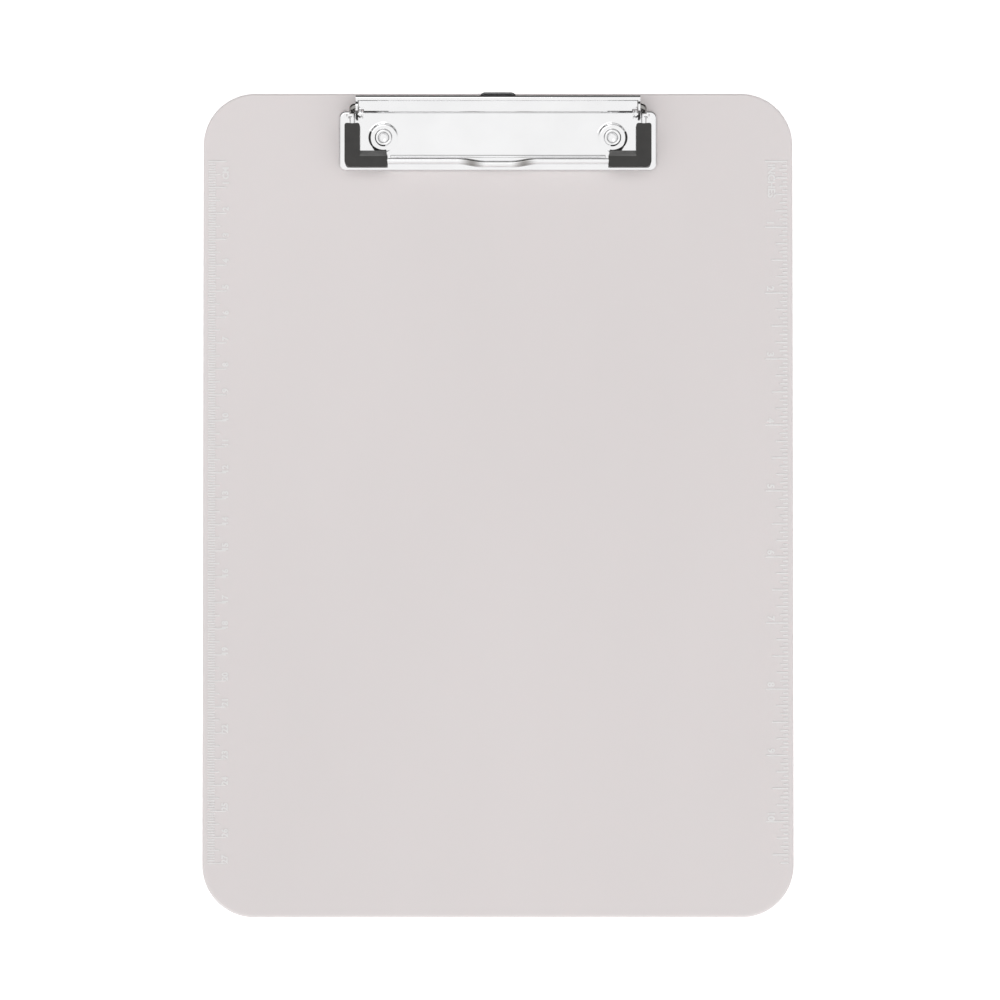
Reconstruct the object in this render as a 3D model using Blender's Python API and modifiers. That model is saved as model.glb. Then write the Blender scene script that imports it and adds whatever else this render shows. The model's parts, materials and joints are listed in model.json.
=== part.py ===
"""A letter-size clipboard with a low-profile wire clip.

It lies on its back: X is across the board, +Y points to the clip end and +Z up out of the writing face.
The origin is the centre of the board's back face. All sizes are in metres.
"""

import math

import bmesh
import bpy
from mathutils import Matrix, Vector

MM = 0.001

# Clearances
GAP = 0.3 * MM  # between faces that touch on the real object
SIDE_GAP = 0.3 * MM  # beside a moving piece
RUN_GAP = 0.15 * MM  # round a pin that turns

# Board
BOARD_WIDTH = 227.0 * MM
BOARD_LENGTH = 317.0 * MM
BOARD_THICK = 2.5 * MM
CORNER_RADIUS = 20.0 * MM
RIM_RADIUS = 0.7 * MM

# Base plate, a shallow pan pressed from sheet
SHEET = 0.8 * MM
PLATE_MARGIN = 2.9 * MM  # outside the keepers
PLATE_DEPTH = 23.0 * MM
PLATE_SETBACK = 6.8 * MM  # from the board's top edge
PLATE_RISE = 1.2 * MM  # height of the pan
PLATE_CORNER = 2.2 * MM
PLATE_ROLL = 1.0 * MM  # rounding of the pan's border
BEAD_RADIUS = 0.6 * MM
BEAD_BEHIND_WIRE = 1.8 * MM
BEAD_SUNK = 0.1 * MM  # depth of the bead's centre below the deck
BEAD_END_GAP = 1.0 * MM  # from the bead to each sleeve

# Rivets and the bosses round them
RIVET_INSIDE_CHEEK = 10.6 * MM
RIVET_BEHIND_SLEEVE = 1.75 * MM
SHANK_RADIUS = 2.4 * MM
SHANK_BORE = 1.7 * MM
ROLL_RADIUS = 3.5 * MM  # outside of the rolled-over end
ROLL_HEIGHT = 1.0 * MM
HEAD_RADIUS = 4.8 * MM
HEAD_THICK = 0.8 * MM
HEAD_SUNK = 0.1 * MM  # depth of the head below the back face
BOSS_RADIUS = 6.0 * MM
BOSS_TOP_RADIUS = 5.0 * MM
BOSS_RISE = 0.6 * MM

# Wire jaw
WIRE_RADIUS = 1.15 * MM
WIRE_FROM_FRONT = 3.55 * MM
WIRE_BEND = 3.2 * MM
BOW_DEPTH = 1.2 * MM
BOW_HALF_WIDTH = 15.0 * MM
RISE_BEND = 2.0 * MM
RISE_UNDER_CLAW = 0.25 * MM  # how far the rising wire reaches under the claw's edge
HOOK_BEND = 1.5 * MM
HOOK_BELOW_TOP = 2.8 * MM  # from the panel's top
HOOK_CLEAR = 0.5 * MM  # from the panel to the hook

# Rubber sleeves
SLEEVE_WALL = 1.45 * MM  # before and behind the wire's front run
SLEEVE_SIDE_WALL = 1.75 * MM  # beside the wire's legs
SLEEVE_SOLE = 0.85 * MM  # below the wire
SLEEVE_CROWN = 1.4 * MM  # above the wire
SLEEVE_FRONT_ARM = 16.6 * MM
SLEEVE_BEFORE_CHEEK = 1.45 * MM
SLEEVE_CORNER = 2.2 * MM
SLEEVE_END_CORNER = 0.7 * MM
SLEEVE_LIP = 1.2 * MM

# Lever
LEVER_WIDTH = 109.3 * MM
HINGE_FROM_REAR = 1.5 * MM  # forward from the plate's rear edge
JAW_HINGE_FORWARD = 0.7 * MM  # from the lever's hinge to the jaw's
FOOT_ALONG = 0.95 * MM  # from the hinge back to the lever's foot
FOOT_BELOW = 1.05 * MM
KNEE_ALONG = 1.55 * MM
KNEE_BELOW = 0.3 * MM
LEVER_LEAN = math.radians(42.0)  # from the board to the lever's panel
PANEL_LENGTH = 6.1 * MM  # knee to the rolled edge
EDGE_ROLL = 0.66 * MM  # radius of the rolled edge, mid-sheet
EDGE_TURN = math.radians(255.0)
CHEEK_ABOVE_DECK = 0.2 * MM
HOOK_CHEEK_RADIUS = 2.2 * MM
NOTCH_UP_PANEL = 1.15 * MM  # from the knee to the notches' top
NOTCH_LENGTH = 8.0 * MM
LEVER_OPEN = math.radians(30.0)
JAW_RATIO = 0.95

# Ears, keepers and pins
EAR_RADIUS = 1.5 * MM
EAR_BASE = 2.2 * MM
EAR_GAP = 0.4 * MM
PIN_RADIUS = 0.9 * MM
PIN_HEAD_RADIUS = 1.5 * MM
PIN_HEAD_THICK = 0.5 * MM
KEEPER_WIDTH = 0.9 * MM
CLAW_ABOVE_WIRE = 0.9 * MM

# Hang tab and its guide
TAB_WIDTH = 13.8 * MM
TAB_ABOVE_KNEE = 0.6 * MM
TAB_SLOT_WIDTH = 8.0 * MM
TAB_SLOT_HEIGHT = 3.4 * MM
TAB_WEB = 1.0 * MM
TAB_CORNER = 2.0 * MM
TAB_SHOULDER = 1.3 * MM  # how far each shoulder stands out
TAB_SHOULDER_LENGTH = 0.8 * MM
TAB_INNER_CORNER = 0.2 * MM
TAB_OUTER_CORNER = 0.3 * MM
TAB_PROUD = 1.3 * MM  # how far the stored tab reaches past the panel's top
GUIDE_FLANGE = 2.6 * MM
GUIDE_LENGTH = 3.6 * MM
GUIDE_BELOW_TOP = 0.6 * MM  # from the panel's top to the rails'
GUIDE_BRIDGE_DROP = 1.0 * MM  # from the rails' top to the bridge's
GUIDE_STOP = 0.6 * MM

# Heights and places that follow
board_top = BOARD_THICK
plate_under = board_top + GAP
deck = plate_under + PLATE_RISE
plate_rear = BOARD_LENGTH / 2 - PLATE_SETBACK
plate_front = plate_rear - PLATE_DEPTH
wire_y = plate_front + WIRE_FROM_FRONT
wire_z = deck + GAP + SLEEVE_SOLE + WIRE_RADIUS
sleeve_half = WIRE_RADIUS + SLEEVE_WALL
rivet_y = wire_y + sleeve_half + SLEEVE_LIP + RIVET_BEHIND_SLEEVE + ROLL_RADIUS
hinge_y = plate_rear - HINGE_FROM_REAR
hinge_z = wire_z
jaw_hinge_y = hinge_y - JAW_HINGE_FORWARD
cheek_radius = hinge_z - deck - CHEEK_ABOVE_DECK
rise_y = jaw_hinge_y + KEEPER_WIDTH / 2 + WIRE_RADIUS - RISE_UNDER_CLAW
cheek_out = LEVER_WIDTH / 2
cheek_in = cheek_out - SHEET
ear_out = cheek_in - EAR_GAP
ear_in = ear_out - SHEET
rivet_x = cheek_out - RIVET_INSIDE_CHEEK
wire_x = cheek_out + SIDE_GAP + WIRE_RADIUS
keeper_in = wire_x + WIRE_RADIUS + SIDE_GAP
plate_half = keeper_in + SHEET + PLATE_MARGIN
sleeve_side_half = WIRE_RADIUS + SLEEVE_SIDE_WALL
sleeve_end_x = wire_x + sleeve_side_half - SLEEVE_FRONT_ARM
foot = Vector((0, hinge_y + FOOT_ALONG, hinge_z - FOOT_BELOW))
knee = Vector((0, hinge_y + KNEE_ALONG, hinge_z - KNEE_BELOW))
up_panel = Vector((0, math.cos(LEVER_LEAN), math.sin(LEVER_LEAN)))
off_panel = Vector((0, math.sin(LEVER_LEAN), -math.cos(LEVER_LEAN)))  # out of the panel's back
roll_start = knee + up_panel * PANEL_LENGTH
roll_centre = roll_start - off_panel * EDGE_ROLL
hook = roll_start - up_panel * HOOK_BELOW_TOP - off_panel * (SHEET / 2 + WIRE_RADIUS + HOOK_CLEAR)
SIDES = {"left": -1, "right": 1}


def clear_scene():
    for obj in list(bpy.data.objects):
        bpy.data.objects.remove(obj, do_unlink=True)


def new_collection(name, hidden=False):
    collection = bpy.data.collections.new(name)
    bpy.context.scene.collection.children.link(collection)
    collection.hide_render = hidden
    return collection


def material(name, color, roughness, metallic):
    made = bpy.data.materials.new(name)
    made.use_nodes = True
    shader = made.node_tree.nodes["Principled BSDF"]
    shader.inputs["Base Color"].default_value = (*color, 1.0)
    shader.inputs["Roughness"].default_value = roughness
    shader.inputs["Metallic"].default_value = metallic
    return made


def link_mesh(name, bm, collection):
    """A new object from a bmesh, which is freed."""
    mesh = bpy.data.meshes.new(name)
    bmesh.ops.recalc_face_normals(bm, faces=bm.faces)
    bm.to_mesh(mesh)
    bm.free()
    obj = bpy.data.objects.new(name, mesh)
    collection.objects.link(obj)
    return obj


def as_cutter(obj):
    obj.hide_render = True
    obj.display_type = "WIRE"
    return obj


def box(name, low, high, collection, turn=None):
    """A box between two corners, turned about the origin afterwards when turn is given."""
    low = Vector(low)
    high = Vector(high)
    bm = bmesh.new()
    bmesh.ops.create_cube(bm, size=1.0)
    bmesh.ops.scale(bm, vec=high - low, verts=bm.verts)
    bmesh.ops.translate(bm, vec=(high + low) / 2, verts=bm.verts)
    if turn:
        bmesh.ops.transform(bm, matrix=turn, verts=bm.verts)
    return link_mesh(name, bm, collection)


def cylinder(name, radius, start, end, collection, segments=32, end_radius=None):
    """A cylinder, or a cone frustum, between two points."""
    start = Vector(start)
    end = Vector(end)
    axis = end - start
    place = Matrix.Translation((start + end) / 2) @ axis.to_track_quat("Z", "Y").to_matrix().to_4x4()
    bm = bmesh.new()
    bmesh.ops.create_cone(
        bm,
        cap_ends=True,
        segments=segments,
        radius1=radius,
        radius2=radius if end_radius is None else end_radius,
        depth=axis.length,
        matrix=place,
    )
    return link_mesh(name, bm, collection)


def cross_bar(name, radius, ends, centre, collection):
    """A cylinder across the board, between two x values."""
    start = Vector((ends[0], centre.y, centre.z))
    return cylinder(name, radius, start, Vector((ends[1], centre.y, centre.z)), collection)


def prism(name, outline, low, high, collection, place):
    """A flat (u, v) outline, extruded from low to high along w; place maps (u, v, w) to the object."""
    bm = bmesh.new()
    ring = [bm.verts.new(place @ Vector((u, v, low))) for u, v in outline]
    face = bm.faces.new(ring)
    grown = bmesh.ops.extrude_face_region(bm, geom=[face])
    top = [item for item in grown["geom"] if isinstance(item, bmesh.types.BMVert)]
    bmesh.ops.translate(bm, vec=place.to_3x3() @ Vector((0, 0, high - low)), verts=top)
    return link_mesh(name, bm, collection)


def rounded_outline(low, high, radius, segments=8):
    """The (u, v) points of a rectangle with round corners."""
    points = []
    centres = (
        (high[0] - radius, high[1] - radius),
        (low[0] + radius, high[1] - radius),
        (low[0] + radius, low[1] + radius),
        (high[0] - radius, low[1] + radius),
    )
    for quarter, (u, v) in enumerate(centres):
        for step in range(segments + 1):
            angle = math.pi / 2 * (quarter + step / segments)
            points.append((u + radius * math.cos(angle), v + radius * math.sin(angle)))
    return points


def rounded_polygon(corners, segments=4):
    """The (u, v) points of a closed outline of (u, v, corner radius), each corner an arc."""
    points = []
    count = len(corners)
    for i in range(count):
        before, here, after = (Vector(corners[(i + k) % count][:2]) for k in (-1, 0, 1))
        into = (here - before).normalized()
        out = (after - here).normalized()
        turn = into.angle(out)
        radius = corners[i][2]
        start = here - into * radius * math.tan(turn / 2)
        inward = (out - into * into.dot(out)).normalized()
        for step in range(segments + 1):
            angle = turn * step / segments
            spot = into * math.sin(angle) + inward * (1 - math.cos(angle))
            points.append(tuple(start + spot * radius))
    return points


def boolean(obj, others, operation):
    """Joins or cuts obj by each of the other objects, with live modifiers."""
    for other in others:
        modifier = obj.modifiers.new(operation.lower() + "_" + other.name, "BOOLEAN")
        modifier.operation = operation
        modifier.solver = "EXACT"
        modifier.object = other
        as_cutter(other)
    return obj


def bevel(obj, width, segments, angle=30.0):
    modifier = obj.modifiers.new("bevel", "BEVEL")
    modifier.width = width
    modifier.segments = segments
    modifier.limit_method = "ANGLE"
    modifier.angle_limit = math.radians(angle)
    return modifier


def applied(obj):
    """Turns an object's modifiers, or a curve, into its own plain mesh."""
    graph = bpy.context.evaluated_depsgraph_get()
    mesh = bpy.data.meshes.new_from_object(obj.evaluated_get(graph))
    if obj.type == "MESH":
        obj.modifiers.clear()
        obj.data = mesh
        return obj
    bm = bmesh.new()
    bm.from_mesh(mesh)
    bmesh.ops.remove_doubles(bm, verts=bm.verts, dist=1e-6)
    name = obj.name
    place = obj.matrix_world.copy()
    collection = obj.users_collection[0]
    bpy.data.objects.remove(obj)
    made = link_mesh(name, bm, collection)
    made.matrix_world = place
    return made


def lathe(name, profile, centre, steps, collection):
    """A closed turned solid, from (radius, height) points that start and end on its axis."""
    bm = bmesh.new()
    verts = [bm.verts.new((radius, 0, height)) for radius, height in profile]
    for a, b in zip(verts, verts[1:]):
        bm.edges.new((a, b))
    mesh = bpy.data.meshes.new(name)
    bm.to_mesh(mesh)
    bm.free()
    obj = bpy.data.objects.new(name, mesh)
    collection.objects.link(obj)
    obj.location = centre
    screw = obj.modifiers.new("turn", "SCREW")
    screw.steps = steps
    screw.render_steps = steps
    screw.use_merge_vertices = True
    screw.merge_threshold = 1e-6
    return obj


def rounded_path(corners, segments=6):
    """A path through (point, bend radius) corners, each bend an arc."""
    points = [corners[0][0]]
    for (before, _), (corner, radius), (after, _) in zip(corners, corners[1:], corners[2:]):
        into = (corner - before).normalized()
        out = (after - corner).normalized()
        turn = into.angle(out)
        start = corner - into * radius * math.tan(turn / 2)
        inward = (out - into * into.dot(out)).normalized()
        for step in range(segments + 1):
            angle = turn * step / segments
            spot = into * math.sin(angle) + inward * (1 - math.cos(angle))
            points.append(start + spot * radius)
    points.append(corners[-1][0])
    return points


def wire_points(hook_tip):
    """The wire's centreline, from the left hook round the front run to the right hook."""
    half = [
        (Vector((hook_tip, hook.y, hook.z)), 0),
        (Vector((wire_x, hook.y, hook.z)), HOOK_BEND),
        (Vector((wire_x, rise_y, wire_z)), RISE_BEND),
        (Vector((wire_x, wire_y, wire_z)), WIRE_BEND),
        (Vector((BOW_HALF_WIDTH, wire_y, wire_z)), 0),
    ]
    right = rounded_path(half)
    steps = 10
    for step in range(1, steps + 1):
        along = step / steps
        dip = BOW_DEPTH * (1 - math.cos(math.pi * along)) / 2
        right.append(Vector((BOW_HALF_WIDTH * (1 - along), wire_y - dip, wire_z)))
    left = [Vector((-p.x, p.y, p.z)) for p in right[:-1]]
    return left + right[::-1]


def tube(name, points, radius, collection):
    """A round bar along the points, as a mesh."""
    data = bpy.data.curves.new(name, "CURVE")
    data.dimensions = "3D"
    data.bevel_depth = radius
    data.bevel_resolution = 3
    data.use_fill_caps = True
    spline = data.splines.new("POLY")
    spline.points.add(len(points) - 1)
    for target, point in zip(spline.points, points):
        target.co = (*point, 1)
    obj = bpy.data.objects.new(name, data)
    collection.objects.link(obj)
    bpy.context.view_layer.update()
    return applied(obj)


def make_board(parts, cutters):
    outline = rounded_outline(
        (-BOARD_WIDTH / 2, -BOARD_LENGTH / 2), (BOARD_WIDTH / 2, BOARD_LENGTH / 2), CORNER_RADIUS
    )
    board = prism("board", outline, 0, BOARD_THICK, parts, Matrix.Identity(4))
    bevel(board, RIM_RADIUS, 3, 60)
    sink = HEAD_SUNK + HEAD_THICK + GAP
    holes = []
    for side, sign in SIDES.items():
        below = Vector((sign * rivet_x, rivet_y, -GAP))
        through = below + Vector((0, 0, BOARD_THICK + 2 * GAP))
        sunk = below + Vector((0, 0, sink + GAP))
        holes.append(cylinder("board_hole_" + side, SHANK_RADIUS + GAP, below, through, cutters))
        holes.append(cylinder("board_sink_" + side, HEAD_RADIUS + GAP, below, sunk, cutters))
    return boolean(board, holes, "DIFFERENCE")


def make_pan(name, inset, top, low, collection):
    """The base plate's pan as a solid, or the hollow under it."""
    width = plate_half - inset
    outline = rounded_outline(
        (-width, plate_front + inset), (width, plate_rear - inset), PLATE_CORNER - inset, 5
    )
    pan = prism(name, outline, low, top, collection, Matrix.Identity(4))
    bm = bmesh.new()
    bm.from_mesh(pan.data)
    rim = [edge for edge in bm.edges if all(abs(v.co.z - top) < 1e-6 for v in edge.verts)]
    width = PLATE_ROLL - inset / 2
    bmesh.ops.bevel(bm, geom=rim, offset=width, segments=3, profile=0.5, affect="EDGES", material=-1)
    bm.to_mesh(pan.data)
    bm.free()
    return pan


def make_base_plate(parts, cutters):
    plate = make_pan("base_plate", 0, deck, plate_under, parts)
    added = []
    cut = [make_pan("pan_hollow", SHEET, deck - SHEET, plate_under - GAP, cutters)]
    bead_end = Vector((sleeve_end_x - BEAD_END_GAP, wire_y + BEAD_BEHIND_WIRE, deck - BEAD_SUNK))
    bead_start = bead_end * Vector((-1, 1, 1))
    added.append(cylinder("bead", BEAD_RADIUS, bead_start, bead_end, cutters, 16))
    for side, sign in SIDES.items():
        rivet = Vector((sign * rivet_x, rivet_y, 0))
        low = rivet + Vector((0, 0, plate_under))
        mid = rivet + Vector((0, 0, deck - SHEET / 4))
        high = rivet + Vector((0, 0, deck + BOSS_RISE))
        through = high + Vector((0, 0, GAP))
        added.append(cylinder("boss_pad_" + side, BOSS_TOP_RADIUS, low, mid, cutters))
        boss = cylinder("boss_" + side, BOSS_RADIUS, mid, high, cutters, end_radius=BOSS_TOP_RADIUS)
        added.append(boss)
        cut.append(cylinder("plate_hole_" + side, SHANK_RADIUS + GAP, rivet, through, cutters))
        ears = sorted((sign * ear_in, sign * ear_out))
        sink = deck - SHEET / 2
        added.append(
            box(
                "ear_base_" + side,
                (ears[0], hinge_y - EAR_RADIUS, sink),
                (ears[1], hinge_y - EAR_RADIUS + EAR_BASE, hinge_z),
                cutters,
            )
        )
        hinge = Vector((0, hinge_y, hinge_z))
        added.append(cross_bar("ear_" + side, EAR_RADIUS, ears, hinge, cutters))
        bore = (ears[0] - GAP, ears[1] + GAP)
        cut.append(cross_bar("ear_hole_" + side, PIN_RADIUS + RUN_GAP, bore, hinge, cutters))
        claw_low = wire_z + WIRE_RADIUS + CLAW_ABOVE_WIRE
        posts = sorted((sign * keeper_in, sign * (keeper_in + SHEET)))
        claws = sorted((sign * (wire_x - WIRE_RADIUS / 2), sign * (keeper_in + SHEET)))
        front = jaw_hinge_y - KEEPER_WIDTH / 2
        rear = jaw_hinge_y + KEEPER_WIDTH / 2
        top = claw_low + SHEET
        added.append(box("post_" + side, (posts[0], front, sink), (posts[1], rear, top), cutters))
        added.append(box("claw_" + side, (claws[0], front, claw_low), (claws[1], rear, top), cutters))
    boolean(plate, added, "UNION")
    return boolean(plate, cut, "DIFFERENCE")


def make_lever(parts, cutters):
    """The panel with its flared foot and rolled top edge, then a cheek folded forward at each end."""
    section = [foot, knee]
    arc_steps = 9
    for step in range(arc_steps + 1):
        angle = EDGE_TURN * step / arc_steps
        spoke = off_panel * math.cos(angle) + up_panel * math.sin(angle)
        section.append(roll_centre + EDGE_ROLL * spoke)
    bm = bmesh.new()
    verts = [bm.verts.new((-cheek_out, p.y, p.z)) for p in section]
    edges = [bm.edges.new(pair) for pair in zip(verts, verts[1:])]
    grown = bmesh.ops.extrude_edge_only(bm, edges=edges)
    far = [item for item in grown["geom"] if isinstance(item, bmesh.types.BMVert)]
    bmesh.ops.translate(bm, vec=(LEVER_WIDTH, 0, 0), verts=far)
    lever = link_mesh("lever", bm, parts)
    wall = lever.modifiers.new("sheet", "SOLIDIFY")
    wall.thickness = SHEET
    wall.offset = 0
    wall.use_even_offset = True
    drift = hook_drift()
    hinge = Vector((0, hinge_y, hinge_z))
    lobe = hook - off_panel * (HOOK_CHEEK_RADIUS - cheek_radius)
    notch_top = (knee + up_panel * NOTCH_UP_PANEL).z
    cheeks = []
    cut = []
    for side, sign in SIDES.items():
        xs = sorted((sign * cheek_in, sign * cheek_out))
        bm = bmesh.new()
        for x in xs:
            for centre, radius in ((hinge, cheek_radius), (lobe, HOOK_CHEEK_RADIUS)):
                for step in range(24):
                    angle = 2 * math.pi * step / 24
                    y = centre.y + radius * math.cos(angle)
                    z = centre.z + radius * math.sin(angle)
                    bm.verts.new((x, y, z))
            for along in (NOTCH_UP_PANEL, PANEL_LENGTH):
                spot = knee + up_panel * along
                bm.verts.new((x, spot.y, spot.z))
        hull = bmesh.ops.convex_hull(bm, input=bm.verts)
        spare = {item for item in hull["geom_interior"] if isinstance(item, bmesh.types.BMVert)}
        bmesh.ops.delete(bm, geom=list(spare), context="VERTS")
        cheeks.append(link_mesh("cheek_" + side, bm, cutters))
        notch = sorted((sign * (ear_in - PIN_HEAD_THICK - 2 * GAP), sign * cheek_in))
        cut.append(
            box(
                "notch_" + side,
                (notch[0], hinge_y - EAR_RADIUS, deck),
                (notch[1], hinge_y - EAR_RADIUS + NOTCH_LENGTH, notch_top),
                cutters,
            )
        )
        ends = sorted((sign * (cheek_in - GAP), sign * (cheek_out + GAP)))
        cut.append(cross_bar("cheek_bore_" + side, PIN_RADIUS + RUN_GAP, ends, hinge, cutters))
        eye_radius = WIRE_RADIUS + GAP + drift.length / 2
        cut.append(cross_bar("hook_eye_" + side, eye_radius, ends, hook + drift / 2, cutters))
    boolean(lever, cheeks, "UNION")
    return boolean(lever, cut, "DIFFERENCE")


def hook_drift():
    """How far the wire's hook moves across the lever's eye, from closed to fully open."""
    lever_hinge = Vector((0, hinge_y, hinge_z))
    jaw_hinge = Vector((0, jaw_hinge_y, wire_z))
    jaw_turn = Matrix.Rotation(-LEVER_OPEN * JAW_RATIO, 3, "X")
    lever_back = Matrix.Rotation(LEVER_OPEN, 3, "X")
    moved = jaw_hinge + jaw_turn @ (hook - jaw_hinge)
    return lever_hinge + lever_back @ (moved - lever_hinge) - hook


def make_pins(parts):
    neck = ear_in - GAP
    profile = [
        (0, cheek_out),
        (PIN_RADIUS, cheek_out),
        (PIN_RADIUS, neck),
        (PIN_HEAD_RADIUS, neck),
        (PIN_HEAD_RADIUS, neck - PIN_HEAD_THICK),
        (0, neck - PIN_HEAD_THICK),
    ]
    pins = []
    for side, sign in SIDES.items():
        pin = lathe("pivot_pin_" + side, profile, (0, hinge_y, hinge_z), 24, parts)
        pin.rotation_euler = (0, sign * math.pi / 2, 0)
        pins.append(pin)
    return pins


def make_rivets(parts):
    under_roll = deck + BOSS_RISE + GAP
    head_top = HEAD_SUNK + HEAD_THICK
    profile = [(0, head_top + HEAD_THICK), (SHANK_BORE, head_top + HEAD_THICK)]
    roll_half = (ROLL_RADIUS - SHANK_BORE) / 2
    steps = 6
    for step in range(steps + 1):
        angle = math.pi * (1 - step / steps)
        across = SHANK_BORE + roll_half * (1 + math.cos(angle))
        profile.append((across, under_roll + ROLL_HEIGHT * math.sin(angle)))
    profile += [
        (SHANK_RADIUS, under_roll),
        (SHANK_RADIUS, head_top),
        (HEAD_RADIUS, head_top),
        (HEAD_RADIUS, HEAD_SUNK),
        (0, HEAD_SUNK),
    ]
    return [
        lathe("rivet_" + side, profile, (sign * rivet_x, rivet_y, 0), 32, parts)
        for side, sign in SIDES.items()
    ]


def make_sleeves(parts, cutters):
    low = wire_z - WIRE_RADIUS - SLEEVE_SOLE
    high = wire_z + WIRE_RADIUS + SLEEVE_CROWN
    outer_x = wire_x + sleeve_side_half
    inner_x = wire_x - sleeve_side_half
    front = wire_y - sleeve_half
    back = wire_y + sleeve_half
    rear = hinge_y - cheek_radius - SLEEVE_BEFORE_CHEEK
    corners = [
        (outer_x, front, SLEEVE_CORNER),
        (outer_x, rear, SLEEVE_END_CORNER),
        (inner_x, rear, SLEEVE_END_CORNER),
        (inner_x, back, SLEEVE_END_CORNER),
        (sleeve_end_x, back, SLEEVE_END_CORNER),
        (sleeve_end_x, front, SLEEVE_END_CORNER),
    ]
    lip = [
        (back - GAP, high - GAP),
        (back + SLEEVE_LIP, high - SLEEVE_LIP - GAP),
        (back + SLEEVE_LIP, low + BOSS_RISE + GAP),
        (back - GAP, low + BOSS_RISE),
    ]
    along_x = Matrix(((0, 0, 1, 0), (1, 0, 0, 0), (0, 1, 0, 0), (0, 0, 0, 1)))
    channel = tube("sleeve_bore", wire_points(cheek_in), WIRE_RADIUS + GAP, cutters)
    sleeves = []
    for side, sign in SIDES.items():
        outline = [(sign * u, v) for u, v in rounded_polygon(corners)]
        sleeve = prism("sleeve_" + side, outline, low, high, parts, Matrix.Identity(4))
        ends = sorted((sign * (sleeve_end_x + SLEEVE_END_CORNER), sign * (inner_x + GAP)))
        wedge = prism("lip_" + side, lip, ends[0], ends[1], cutters, along_x)
        boolean(sleeve, [wedge], "UNION")
        boolean(sleeve, [channel], "DIFFERENCE")
        sleeves.append(sleeve)
    return sleeves


def make_wire(parts):
    return tube("wire_jaw", wire_points(cheek_in - GAP), WIRE_RADIUS, parts)


def panel_place(first, second, third):
    """A matrix that puts three directions on the back of the lever's panel, from its knee."""
    start = knee + off_panel * SHEET / 2
    columns = Matrix((first, second, third)).transposed().to_4x4()
    return Matrix.Translation(start) @ columns


def make_hang_tab(parts, cutters):
    top = PANEL_LENGTH + TAB_PROUD
    bottom = TAB_ABOVE_KNEE
    shoulder = bottom + TAB_SHOULDER_LENGTH
    half = TAB_WIDTH / 2
    wide = half + TAB_SHOULDER
    corners = [
        (half, top, TAB_CORNER),
        (-half, top, TAB_CORNER),
        (-half, shoulder, TAB_INNER_CORNER),
        (-wide, shoulder, TAB_OUTER_CORNER),
        (-wide, bottom, TAB_OUTER_CORNER),
        (wide, bottom, TAB_OUTER_CORNER),
        (wide, shoulder, TAB_OUTER_CORNER),
        (half, shoulder, TAB_INNER_CORNER),
    ]
    place = panel_place(Vector((1, 0, 0)), up_panel, off_panel)
    tab = prism("hang_tab", rounded_polygon(corners, 6), GAP, GAP + SHEET, parts, place)
    slot_high = (TAB_SLOT_WIDTH / 2, top - TAB_WEB)
    slot_low = (-TAB_SLOT_WIDTH / 2, slot_high[1] - TAB_SLOT_HEIGHT)
    slot = rounded_outline(slot_low, slot_high, TAB_SLOT_HEIGHT / 2 - GAP)
    hole = prism("tab_slot", slot, 0, 2 * GAP + SHEET, cutters, place)
    return boolean(tab, [hole], "DIFFERENCE")


def make_tab_guide(parts, cutters):
    inner = TAB_WIDTH / 2 + TAB_SHOULDER + GAP
    wall = inner + SHEET
    flange = wall + GUIDE_FLANGE
    under = 2 * GAP + SHEET
    right = [
        (flange, GAP),
        (flange, GAP + SHEET),
        (wall, GAP + SHEET),
        (wall, under + SHEET),
    ]
    back = [(inner, under), (inner, GAP)]
    outline = right + [(-u, w) for u, w in right[::-1]]
    outline += [(-u, w) for u, w in back[::-1]] + back
    top = PANEL_LENGTH - GUIDE_BELOW_TOP
    place = panel_place(Vector((1, 0, 0)), off_panel, up_panel)
    guide = prism("tab_guide", outline, top - GUIDE_LENGTH, top, parts, place)
    inset = GAP / 3
    stops = []
    for side, sign in SIDES.items():
        reach = sorted((sign * (TAB_WIDTH / 2 + GAP), sign * (inner + GAP)))
        low = Vector((reach[0], 1.5 * GAP, top - GUIDE_STOP - inset))
        high = Vector((reach[1], under - 2 * inset, top - inset))
        stops.append(box("guide_stop_" + side, low, high, cutters, place))
    low = Vector((-wall - GAP, under - inset, top - GUIDE_BRIDGE_DROP))
    high = Vector((wall + GAP, under + SHEET + GAP, top + GAP))
    opened = box("guide_cut", low, high, cutters, place)
    boolean(guide, stops, "UNION")
    return boolean(guide, [opened], "DIFFERENCE")


def hang_on(name, place, pieces, collection):
    """Parents moving pieces to an empty that sits on their joint."""
    empty = bpy.data.objects.new(name, None)
    empty.empty_display_size = 5 * MM
    empty.location = place
    collection.objects.link(empty)
    bpy.context.view_layer.update()
    for piece in pieces:
        piece.parent = empty
        piece.matrix_parent_inverse = empty.matrix_world.inverted()
    return empty


def finish_pieces(pieces, finish, smooth_angle=35.0):
    for piece in pieces:
        piece.data.materials.clear()
        piece.data.materials.append(finish)
        piece.data.shade_smooth()
        piece.data.set_sharp_from_angle(angle=math.radians(smooth_angle))


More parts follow.
